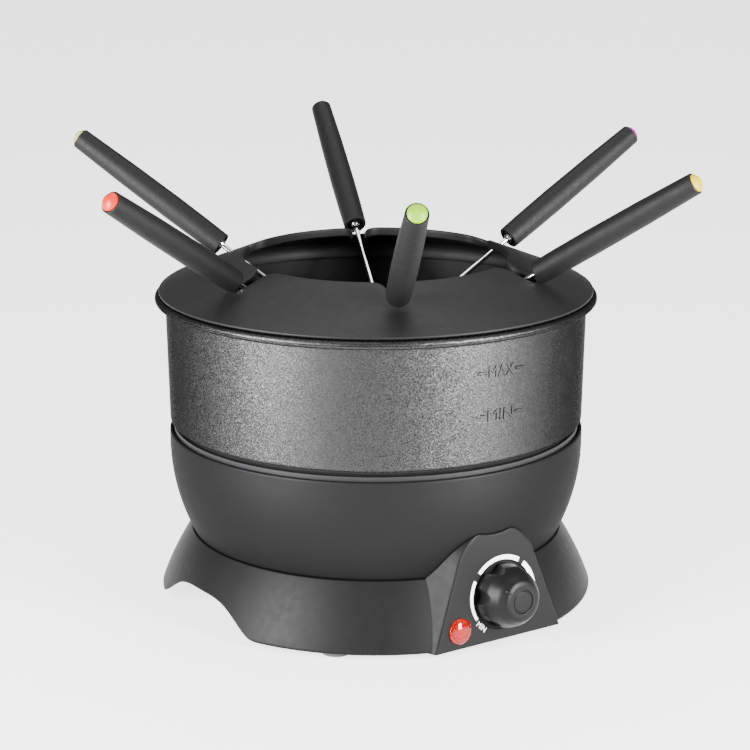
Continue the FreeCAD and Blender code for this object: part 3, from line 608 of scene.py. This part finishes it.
# ---- pot --------------------------------------------------------------------
def make_pot():
    """Turned pot with a stepped foot and a rolled rim, sparkle paint outside and a
    non-stick coat inside."""
    low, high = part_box("pot")
    z0 = low.z
    z1 = high.z
    rim = high.x
    inner_top = POT_TOP_R - POT_WALL
    inner_low = POT_LOW_R - POT_WALL - 1.4 * MM
    outline = rounded([
        (0, z0, 0), (POT_NECK_R, z0, 6.0 * MM), (POT_NECK_R, z0 + POT_STEP, 0.8 * MM),
        (POT_LOW_R, z0 + POT_STEP, 1.5 * MM), (POT_TOP_R, z1 - RIM_H, 1.2 * MM),
        (rim, z1 - RIM_H, RIM_ROUND), (rim, z1, RIM_ROUND), (inner_top, z1, 1.5 * MM),
        (inner_low, z0 + POT_FLOOR, 9.0 * MM), (0, z0 + POT_FLOOR, 0),
    ], steps=10)

    def side(r, z):
        """Which finish a run takes: 0 outside, 1 inside."""
        inside = z > z0 + POT_FLOOR - 0.01 * MM and r < inner_top + 1.2 * MM
        outside_wall = r > POT_NECK_R - 7 * MM and z < z0 + POT_FLOOR
        if outside_wall:
            return 0
        wall = inner_low + (inner_top - inner_low) * (z - z0) / (z1 - z0) + 0.6 * MM
        return 1 if inside and r < wall + (0.8 * MM if z > z1 - 2 * MM else 0) else 0

    lathe("pot_shell", outline, "pot",
          [FINISHES["pot_coating"], NON_STICK], 256, finish_of=side, stands_for=("pot",))


def wall_radius(z):
    """Radius of the pot's outside wall at a height."""
    low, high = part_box("pot")
    foot = low.z + POT_STEP
    share = (z - foot) / (high.z - RIM_H - foot)
    return POT_LOW_R + (POT_TOP_R - POT_LOW_R) * share


def make_level_marks():
    """Raised MAX and MIN marks, each a word between two dashes, wrapped on the wall."""
    rim_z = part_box("pot")[1].z
    for word, drop in LEVEL_WORDS:
        z = rim_z - drop
        verts, faces = lettering(word, LEVEL_TALL, LEVEL_WIDE, LEVEL_RISE)
        dash_half = Vector(DASH_HALF)
        for side in (-1, 1):
            start = len(verts)
            for k in range(9):
                x = side * DASH_AT + dash_half.x * (k / 4 - 1)
                y_half = dash_half.y * math.sqrt(max(0.0, 1 - (k / 4 - 1) ** 8)) + 0.05 * MM
                for y, w in ((-y_half, -1), (-y_half, 0.55), (-y_half * 0.6, 1),
                             (y_half * 0.6, 1), (y_half, 0.55), (y_half, -1)):
                    verts.append(Vector((x, y, w * dash_half.z)))
            for k in range(8):
                for j in range(6):
                    a = start + k * 6 + j
                    b = start + k * 6 + (j + 1) % 6
                    faces.append((a, b, b + 6, a + 6))
            faces.append(tuple(start + j for j in range(6)))
            faces.append(tuple(start + 48 + j for j in range(6)))
        wrapped = []
        for p in verts:
            r = wall_radius(z + p.y)
            a = math.radians(PANEL_AZ) + p.x / r
            wrapped.append(Vector(((r + p.z) * math.cos(a), (r + p.z) * math.sin(a), z + p.y)))
        piece = add_mesh("level_mark_" + word.lower(), wrapped, faces, "pot",
                         [FINISHES["pot_coating"]])
        flat_where_sharp(piece, 30)


def flat_where_sharp(piece, degrees):
    """Mark edges sharper than an angle, so that only gentle curves shade smoothly."""
    piece.data.set_sharp_from_angle(angle=math.radians(degrees))


# ---- fork ring --------------------------------------------------------------
def mouth_outline():
    """Points of the ring's mouth with its slots, each with the direction into the sheet."""
    reach = MOUTH_R + MOUTH_FILLET
    cy = SLOT_HALF + MOUTH_FILLET
    cx = math.sqrt(reach * reach - cy * cy)
    turn_out = math.atan2(-cy, -cx)
    half = []
    for k in range(9):
        a = PI / 2 * k / 8
        half.append(((SLOT_END_AT + SLOT_HALF * math.cos(a), SLOT_HALF * math.sin(a)),
                     (math.cos(a), math.sin(a))))
    for k in range(1, 7):
        half.append(((SLOT_END_AT + (cx - SLOT_END_AT) * k / 7, SLOT_HALF), (0, 1)))
    sweep = (turn_out + PI / 2) % (2 * PI)
    sweep = sweep - 2 * PI if sweep > 0 else sweep
    for k in range(11):
        a = -PI / 2 + sweep * k / 10
        half.append(((cx + MOUTH_FILLET * math.cos(a), cy + MOUTH_FILLET * math.sin(a)),
                     (-math.cos(a), -math.sin(a))))
    on_mouth = math.atan2(cy, cx)
    end = math.radians(SLOT_PITCH / 2)
    for k in range(1, 15):
        a = on_mouth + (end - on_mouth) * k / 14
        half.append(((MOUTH_R * math.cos(a), MOUTH_R * math.sin(a)), (math.cos(a), math.sin(a))))
    mirrored = [((p[0], -p[1]), (n[0], -n[1])) for p, n in reversed(half[1:-1])]
    sector = mirrored + half
    out = []
    for i in range(6):
        turn = Matrix.Rotation(math.radians(FIRST_SLOT + SLOT_PITCH * i), 2)
        out += [(turn @ Vector(p), turn @ Vector(n)) for p, n in sector]
    return out


def make_ring():
    """Splash guard: one closed skin from the rolled outer edge over the cone, round the
    turned-down lip of the mouth and back underneath."""
    low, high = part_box("fork_ring")
    outer = high.x
    edge_z = high.z - RING_RISE * (outer - MOUTH_R)
    outline = mouth_outline()
    count = len(outline)

    def cone_z(r):
        return edge_z + RING_RISE * (outer - r)

    lengths = [0.0]
    for (p, _), (q, _) in zip(outline, outline[1:] + outline[:1]):
        lengths.append(lengths[-1] + (q - p).length)
    first = math.atan2(outline[0][0].y, outline[0][0].x)

    def turn_of(index):
        """Direction of the outer end of a column, spread evenly along the mouth's outline."""
        return first + 2 * PI * lengths[index] / lengths[-1]

    def inner_at(index, s):
        point, normal = outline[index]
        q = point + normal * s
        return q.length, math.atan2(q.y, q.x)

    def column(index):
        start = turn_of(index)
        r_in, a_in = inner_at(index, LIP_REACH)
        drift = (a_in - start + PI) % (2 * PI) - PI
        rows = []

        def on_cone(share, dz, r_out):
            r = r_out + (r_in - r_out) * share
            a = start + drift * share
            rows.append(Vector((r * math.cos(a), r * math.sin(a), cone_z(r) + dz)))

        for k in range(9):
            t = -PI / 2 + PI * k / 8
            r = outer - RING_BEAD + RING_BEAD * math.cos(t)
            z = cone_z(outer) - RING_BEAD + RING_BEAD * math.sin(t)
            rows.append(Vector((r * math.cos(start), r * math.sin(start), z)))
        rim_r = outer - RING_BEAD * 1.9
        on_cone(0, 0, rim_r)
        for k in range(1, 12):
            on_cone(k / 11, 0, rim_r)

        def on_lip(s, dz):
            r, a = inner_at(index, s)
            rows.append(Vector((r * math.cos(a), r * math.sin(a), cone_z(r) + dz)))

        roll = LIP_ROLL
        on_lip(1.5 * MM, 0)
        for k in range(7):
            t = PI / 2 * k / 6
            on_lip(roll - roll * math.sin(t), -roll + roll * math.cos(t))
        on_lip(0, -roll - 0.4 * MM)
        small = LIP_EDGE
        for k in range(5):
            t = PI / 2 * k / 4
            on_lip(small - small * math.cos(t), -LIP_DROP + small - small * math.sin(t))
        for k in range(5):
            t = PI / 2 * k / 4
            on_lip(LIP_T - small + small * math.sin(t), -LIP_DROP + small - small * math.cos(t))
        on_lip(LIP_T, -RING_T - 1.0 * MM)
        on_lip(LIP_T + 0.2 * MM, -RING_T - 0.3 * MM)
        on_lip(LIP_REACH, -RING_T)
        for k in range(8, -1, -1):
            on_cone(k / 9, -RING_T, rim_r)
        return rows

    columns = [column(i) for i in range(count)]
    tall = len(columns[0])
    verts = [p for rows in columns for p in rows]
    faces = []
    for i in range(count):
        n = (i + 1) % count
        for j in range(tall):
            m = (j + 1) % tall
            faces.append((i * tall + j, n * tall + j, n * tall + m, i * tall + m))
    add_mesh("ring_sheet", verts, faces, "ring", [FINISHES["ring_plastic"]],
             stands_for=("fork_ring",))
    under = cone_z(COLLAR_R) - RING_T * 0.6
    inner = COLLAR_R - COLLAR_T
    base = low.z
    lathe("ring_collar", rounded([
        (inner + 0.5 * MM, base, 0), (COLLAR_R, base, 0.6 * MM), (COLLAR_R, under, 0),
        (inner, under + 0.3 * MM, 0), (inner, base, 0.6 * MM), (inner + 0.5 * MM, base, 0),
    ]), "ring", [FINISHES["ring_plastic"]], 192)


# ---- bowl -------------------------------------------------------------------
def make_bowl():
    """Heater bowl: curved shell with a rolled lip and an inward base flange."""
    low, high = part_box("heater_bowl")
    top = high.z
    rim = high.x
    base = low.z
    arc_z = top - BOWL_ARC_DROP
    centre = rim - BOWL_ARC_R

    def curve(radius, bottom):
        points = []
        for k in range(31):
            z = bottom + (arc_z - bottom) * k / 30
            points.append((centre + math.sqrt(radius ** 2 - (arc_z - z) ** 2), z))
        return points

    outside = curve(BOWL_ARC_R, base + 0.6 * MM)
    inside = curve(BOWL_ARC_R - BOWL_WALL, base + BOWL_WALL)
    inside.reverse()
    lip = [(rim - BOWL_WALL / 2 + BOWL_WALL / 2 * math.cos(PI * k / 12),
            top - BOWL_WALL / 2 + BOWL_WALL / 2 * math.sin(PI * k / 12)) for k in range(13)]
    outline = [(BOWL_HOLE_R, base), (outside[0][0] - 1.2 * MM, base)]
    outline += [(outside[0][0] - 0.4 * MM, base + 0.12 * MM)] + outside
    outline += [(rim, top - BOWL_WALL / 2 - 0.8 * MM)] + lip
    outline += [(rim - BOWL_WALL, top - BOWL_WALL / 2 - 0.8 * MM)] + inside
    outline += [(inside[-1][0] - 1.0 * MM, base + BOWL_WALL), (BOWL_HOLE_R, base + BOWL_WALL)]
    piece = lathe("bowl_shell", outline, "base", [FINISHES["bowl_paint"]], 256,
                  closed=True, stands_for=("heater_bowl",))
    flat_where_sharp(piece, 60)


# ---- knob, dial and lamp ----------------------------------------------------
def panel_frame():
    """Matrix of the panel's face: +X across, +Y up the face, +Z outwards, at the knob."""
    turn = JOINTS["knob_turn"]
    w = Vector(turn["axis"]).normalized()
    u = Vector((0, 0, 1)).cross(w).normalized()
    basis = Matrix((u, w.cross(u), w)).transposed().to_4x4()
    basis.translation = Vector(turn["pos_m"])
    return basis


def knob_outline():
    """The knob's outline before its grips are scooped out: (radius, height) from its base."""
    return rounded([
        (5.6 * MM, -0.4 * MM, 0), (KNOB_R, -0.4 * MM, 0.5 * MM), (KNOB_R, 1.6 * MM, 3.0 * MM),
        (13.75 * MM, 6.4 * MM, 9.0 * MM), (11.5 * MM, 11.9 * MM, 9.0 * MM),
        (9.1 * MM, 14.75 * MM, 2.6 * MM), (7.4 * MM, KNOB_H, 1.5 * MM),
        (NOSE_DISC_R, KNOB_H, 0.3 * MM), (NOSE_DISC_R, KNOB_H - NOSE_DISC_T, 0.0),
        (0, KNOB_H - NOSE_DISC_T, 0),
    ], steps=8)


def make_knob():
    """Control knob: six scooped grips, a raised oval mark and the disc let into its nose."""
    place = panel_frame()
    outline = []
    for (r0, z0), (r1, z1) in zip(knob_outline(), knob_outline()[1:]):
        parts = max(1, round(math.hypot(r1 - r0, z1 - z0) / (0.35 * MM)))
        outline += [(r0 + (r1 - r0) * k / parts, z0 + (z1 - z0) * k / parts)
                    for k in range(parts)]
    outline.append(knob_outline()[-1])
    segments = 288
    verts, faces, _ = lathe_mesh(outline, segments)
    lean = math.radians(SCOOP_LEAN)
    foot = SCOOP_FOOT_R + SCOOP_R / math.cos(lean)
    soft = SCOOP_SOFT
    mark_r, mark_z = MARK_AT
    shaped = []
    for p in verts:
        r = math.hypot(p.x, p.y)
        a = math.degrees(math.atan2(p.y, p.x))
        grip = (a - POINTER_ANGLE) % (360 / KNOB_SCOOPS) - 180 / KNOB_SCOOPS
        s = math.sin(math.radians(grip))
        c = math.cos(math.radians(grip))
        at = foot + p.z * math.tan(lean)
        k = math.cos(lean) ** 2
        qa = c * c * k + s * s
        qb = -2 * c * at * k
        qc = at * at * k - SCOOP_R ** 2
        inside = qb * qb - 4 * qa * qc
        new = r
        if inside > 0 and r > 9.5 * MM and p.z < 13 * MM:
            hit = (-qb - math.sqrt(inside)) / (2 * qa)
            gap = max(-1.0, min(1.0, (r - hit) / soft)) if hit > 0 else -1.0
            if gap >= 1:
                new = hit
            elif gap > -1:
                new = r - soft * (gap + 1) ** 2 / 4
        off = (a - POINTER_ANGLE + 180) % 360 - 180
        across = r * math.radians(off)
        along = math.hypot(r - mark_r, p.z - mark_z)
        oval = (across / MARK_HALF_W) ** 2 + (along / MARK_HALF_L) ** 2
        rise = 0.0
        if oval < 1 and p.z > 9 * MM and r > 6.2 * MM:
            rise = MARK_RISE * math.sqrt(1 - oval)
        scale = (new + rise * 0.75) / r if r > 0 else 1
        top = min(p.z + rise * 0.66, KNOB_H)
        shaped.append(place @ Vector((p.x * scale, p.y * scale, top)))
    knob = add_mesh("knob_shell", shaped, faces, "knob",
                    [FINISHES["knob_plastic"]], stands_for=("control_knob",))
    flat_where_sharp(knob, 50)

    disc = rounded([
        (0, KNOB_H + 0.12 * MM, 0), (4.5 * MM, KNOB_H - 0.02 * MM, 0.3 * MM),
        (4.85 * MM, KNOB_H - 0.36 * MM, 0.15 * MM), (5.28 * MM, KNOB_H - 0.36 * MM, 0.1 * MM),
        (5.3 * MM, KNOB_H - 0.88 * MM, 0), (0, KNOB_H - 0.88 * MM, 0),
    ], steps=5, hold=0.1 * MM)
    lathe("knob_nose_disc", disc, "knob", [FINISHES["knob_plastic"]], 96,
          place, stands_for=("knob_disc",))


def make_dial():
    """White scale on the panel: three arcs that widen towards MAX, and its two end words."""
    place = panel_frame()
    start = DIAL_ARCS[0][0]
    finish = DIAL_ARCS[-1][1]
    for i, (a0, a1) in enumerate(DIAL_ARCS):
        verts = []
        faces = []
        steps = 40
        for k in range(steps + 1):
            deg = a0 + (a1 - a0) * k / steps
            outer = DIAL_IN_R + DIAL_LEAST_W + DIAL_GAIN_W * (start - deg) / (start - finish)
            a = math.radians(deg)
            for r, w in ((DIAL_IN_R, 0), (DIAL_IN_R, DIAL_THICK), (outer, DIAL_THICK), (outer, 0)):
                verts.append(place @ Vector((r * math.cos(a), r * math.sin(a), w)))
        for k in range(steps):
            for j in range(4):
                n = (j + 1) % 4
                faces.append((k * 4 + j, k * 4 + n, k * 4 + 4 + n, k * 4 + 4 + j))
        faces.append((0, 1, 2, 3))
        faces.append(tuple(steps * 4 + j for j in range(4)))
        piece = add_mesh("dial_arc_%d" % (i + 1), verts, faces, "base", [WHITE_INK])
        flat_where_sharp(piece, 40)
    for word, deg in DIAL_WORDS:
        verts, faces = lettering(word, DIAL_WORD_TALL, DIAL_WORD_WIDE, DIAL_THICK * 2)
        a = math.radians(deg)
        turn = Matrix.Rotation(math.radians(deg - 270), 4, "Z")
        away = Matrix.Translation((DIAL_WORD_AT * math.cos(a), DIAL_WORD_AT * math.sin(a), 0))
        piece = add_mesh("dial_word_" + word.lower(), [place @ away @ turn @ v for v in verts],
                         faces, "base", [WHITE_INK])
        flat_where_sharp(piece, 40)


def make_lamp():
    """Indicator: clear red dome over a bright grid of small pyramids."""
    place, length = axis_frame("lamp_lens", JOINTS["knob_turn"]["axis"])
    place = place @ Matrix.Translation((0, 0, length - LAMP_DOME_H))
    outline = rounded([
        (0, LAMP_DOME_H, 0), (2.4 * MM, 2.62 * MM, 6 * MM), (4.6 * MM, 1.95 * MM, 5 * MM),
        (LAMP_R, 0.95 * MM, 0.5 * MM), (LAMP_R, 0.03 * MM, 0.15 * MM),
        (LAMP_BODY_R, 0.03 * MM, 0), (LAMP_BODY_R, -3.0 * MM, 0),
        (LAMP_BODY_IN_R, -3.0 * MM, 0), (LAMP_BODY_IN_R, -0.6 * MM, 0.2 * MM),
        (4.4 * MM, 0.7 * MM, 0.6 * MM), (3.2 * MM, 1.6 * MM, 3 * MM), (0, 2.0 * MM, 0),
    ], steps=6, hold=0.12 * MM)
    lathe("lamp_dome", outline, "base", [FINISHES["lens_red"]], 96, place,
          stands_for=("lamp_lens",))
    verts = []
    faces = []

    def level(x, y):
        return GRID_Z - GRID_SAG * (x * x + y * y) / MM

    count = 6
    half = GRID_PITCH / 2
    for i in range(-count, count + 1):
        for j in range(-count, count + 1):
            x = i * GRID_PITCH
            y = j * GRID_PITCH
            if math.hypot(x, y) > GRID_REACH - GRID_PITCH * 0.4:
                continue
            start = len(verts)
            for dx, dy in ((-half, -half), (half, -half), (half, half), (-half, half)):
                verts.append(place @ Vector((x + dx, y + dy, level(x + dx, y + dy) - 0.3 * MM)))
            verts.append(place @ Vector((x, y, level(x, y) + 0.1 * MM)))
            faces += [(start + k, start + (k + 1) % 4, start + 4) for k in range(4)]
    grid = add_mesh("lamp_grid_plate", verts, faces, "base", [LAMP_GRID])
    for face in grid.data.polygons:
        face.use_smooth = False


# ---- forks ------------------------------------------------------------------
def make_forks():
    """Handles with a mould seam and a socket, ferrules, and domed colour caps."""
    for name in FORKS:
        axis = JOINTS["fork_%s_draw" % name]["axis"]
        place, length = axis_frame("fork_handle_" + name, axis)
        outline = rounded([
            (1.25 * MM, 2.2 * MM, 0), (2.3 * MM, 1.6 * MM, 0.3 * MM),
            (4.0 * MM, SOCKET_DEPTH, 0.4 * MM), (4.3 * MM, 0.02 * MM, 0.35 * MM),
            (5.45 * MM, 0.02 * MM, 1.0 * MM), (5.72 * MM, 12 * MM, 30 * MM),
            (5.86 * MM, 30 * MM, 60 * MM), (5.6 * MM, 58 * MM, 60 * MM),
            (4.94 * MM, length - 0.7 * MM, 0.6 * MM), (4.12 * MM, length - 0.72 * MM, 0.1 * MM),
            (4.12 * MM, length - 0.97 * MM, 0), (0, length - 0.97 * MM, 0),
        ], steps=8)
        fine = []
        for (r0, z0), (r1, z1) in zip(outline, outline[1:]):
            parts = max(1, math.ceil(abs(z1 - z0) / (4 * MM)))
            fine += [(r0 + (r1 - r0) * k / parts, z0 + (z1 - z0) * k / parts)
                     for k in range(parts)]
        fine.append(outline[-1])
        verts, faces, _ = lathe_mesh(fine, 96)
        seam = []
        for p in verts:
            a = math.degrees(math.atan2(p.y, p.x))
            off = min(abs((a - 90) % 180), 180 - abs((a - 90) % 180))
            ridge = SEAM_RIDGE * math.exp(-(off / SEAM_WIDTH) ** 2)
            r = math.hypot(p.x, p.y)
            grow = 1 - ridge / r if r > 3 * MM and 2 * MM < p.z < length - 1 * MM else 1
            seam.append(place @ Vector((p.x * grow, p.y * grow, p.z)))
        add_mesh("handle_" + name, seam, faces, "fork_" + name,
                 [FINISHES["handle_plastic"]], stands_for=("fork_handle_" + name,))

        ferrule = rounded([
            (1.22 * MM, -0.6 * MM, 0), (1.75 * MM, -0.6 * MM, 0.25 * MM),
            (2.2 * MM, 0.5 * MM, 0.3 * MM), (2.2 * MM, 1.55 * MM, 0), (1.22 * MM, 1.9 * MM, 0),
        ], steps=4, hold=0.1 * MM)
        lathe("ferrule_" + name, ferrule, "fork_" + name,
              [FINISHES["rod_steel"]], 48, place)

        top, tall = axis_frame("fork_cap_" + name, axis)
        rise = tall - CAP_SEAT
        sphere = (CAP_R ** 2 + rise ** 2) / (2 * rise)
        widest = math.asin(CAP_R / sphere)
        dome = [(0, 0.02 * MM), (CAP_R - 0.02 * MM, 0.02 * MM), (CAP_R, 0.3 * MM),
                (CAP_R, CAP_SEAT - 0.2 * MM)]
        for k in range(20, -1, -1):
            a = widest * k / 20
            dome.append((sphere * math.sin(a), tall - sphere + sphere * math.cos(a)))
        lathe("cap_" + name, dome, "fork_" + name, [FINISHES["cap_" + name]],
              96, top, stands_for=("fork_cap_" + name,))


# ---- stage ------------------------------------------------------------------
def soft_light(name, at, target, size, power):
    """Large white light aimed at a point."""
    data = bpy.data.lights.new(name, "AREA")
    data.shape = "RECTANGLE"
    data.size = size[0]
    data.size_y = size[1]
    data.energy = power
    lamp = bpy.data.objects.new(name, data)
    lamp.location = at
    lamp.rotation_euler = (Vector(target) - Vector(at)).to_track_quat("-Z", "Y").to_euler()
    bpy.context.scene.collection.objects.link(lamp)


def make_stage():
    """Pale floor, soft studio light and the camera."""
    verts = [(-FLOOR_SIDE, -FLOOR_FRONT, 0), (FLOOR_SIDE, -FLOOR_FRONT, 0),
             (FLOOR_SIDE, FLOOR_BACK, 0), (-FLOOR_SIDE, FLOOR_BACK, 0)]
    faces = [(0, 1, 2, 3)]
    mesh = bpy.data.meshes.new("floor")
    mesh.from_pydata(verts, [], faces)
    pale = Finish("floor", (0.4, 0.4, 0.4), 0.8)
    pale.set(Specular_IOR_Level=0.1, Emission_Color=(1, 1, 1, 1), Emission_Strength=FLOOR_GLOW)
    pale.shades(pale.noise(0.3, 2.0), 0.004)
    mesh.materials.append(pale.material)
    floor = bpy.data.objects.new("floor", mesh)
    bpy.context.scene.collection.objects.link(floor)

    world = bpy.data.worlds.new("studio")
    world.use_nodes = True
    world.node_tree.nodes["Background"].inputs["Color"].default_value = (1, 1, 1, 1)
    world.node_tree.nodes["Background"].inputs["Strength"].default_value = WORLD_LIGHT
    bpy.context.scene.world = world
    soft_light("key_left", (-0.60, -0.49, 0.27), AIM, KEY_SIZE, 36)
    soft_light("key_right", (0.60, -0.49, 0.27), AIM, KEY_SIZE, 34)
    soft_light("top", (0.0, 0.3, 1.4), AIM, TOP_SIZE, 20)

    data = bpy.data.cameras.new("camera")
    data.sensor_width = 36
    data.lens = 109.8
    data.shift_x = -0.0012
    data.clip_start = 0.05
    data.clip_end = 20
    camera = bpy.data.objects.new("camera", data)
    camera.location = (0, -1.0329, 0.3766)
    camera.rotation_euler = (math.radians(75.143), 0, 0)
    bpy.context.scene.collection.objects.link(camera)
    bpy.context.scene.camera = camera


finish_cad_nodes()
make_pot()
make_level_marks()
make_ring()
make_bowl()
make_knob()
make_dial()
make_lamp()
make_forks()
make_stage()
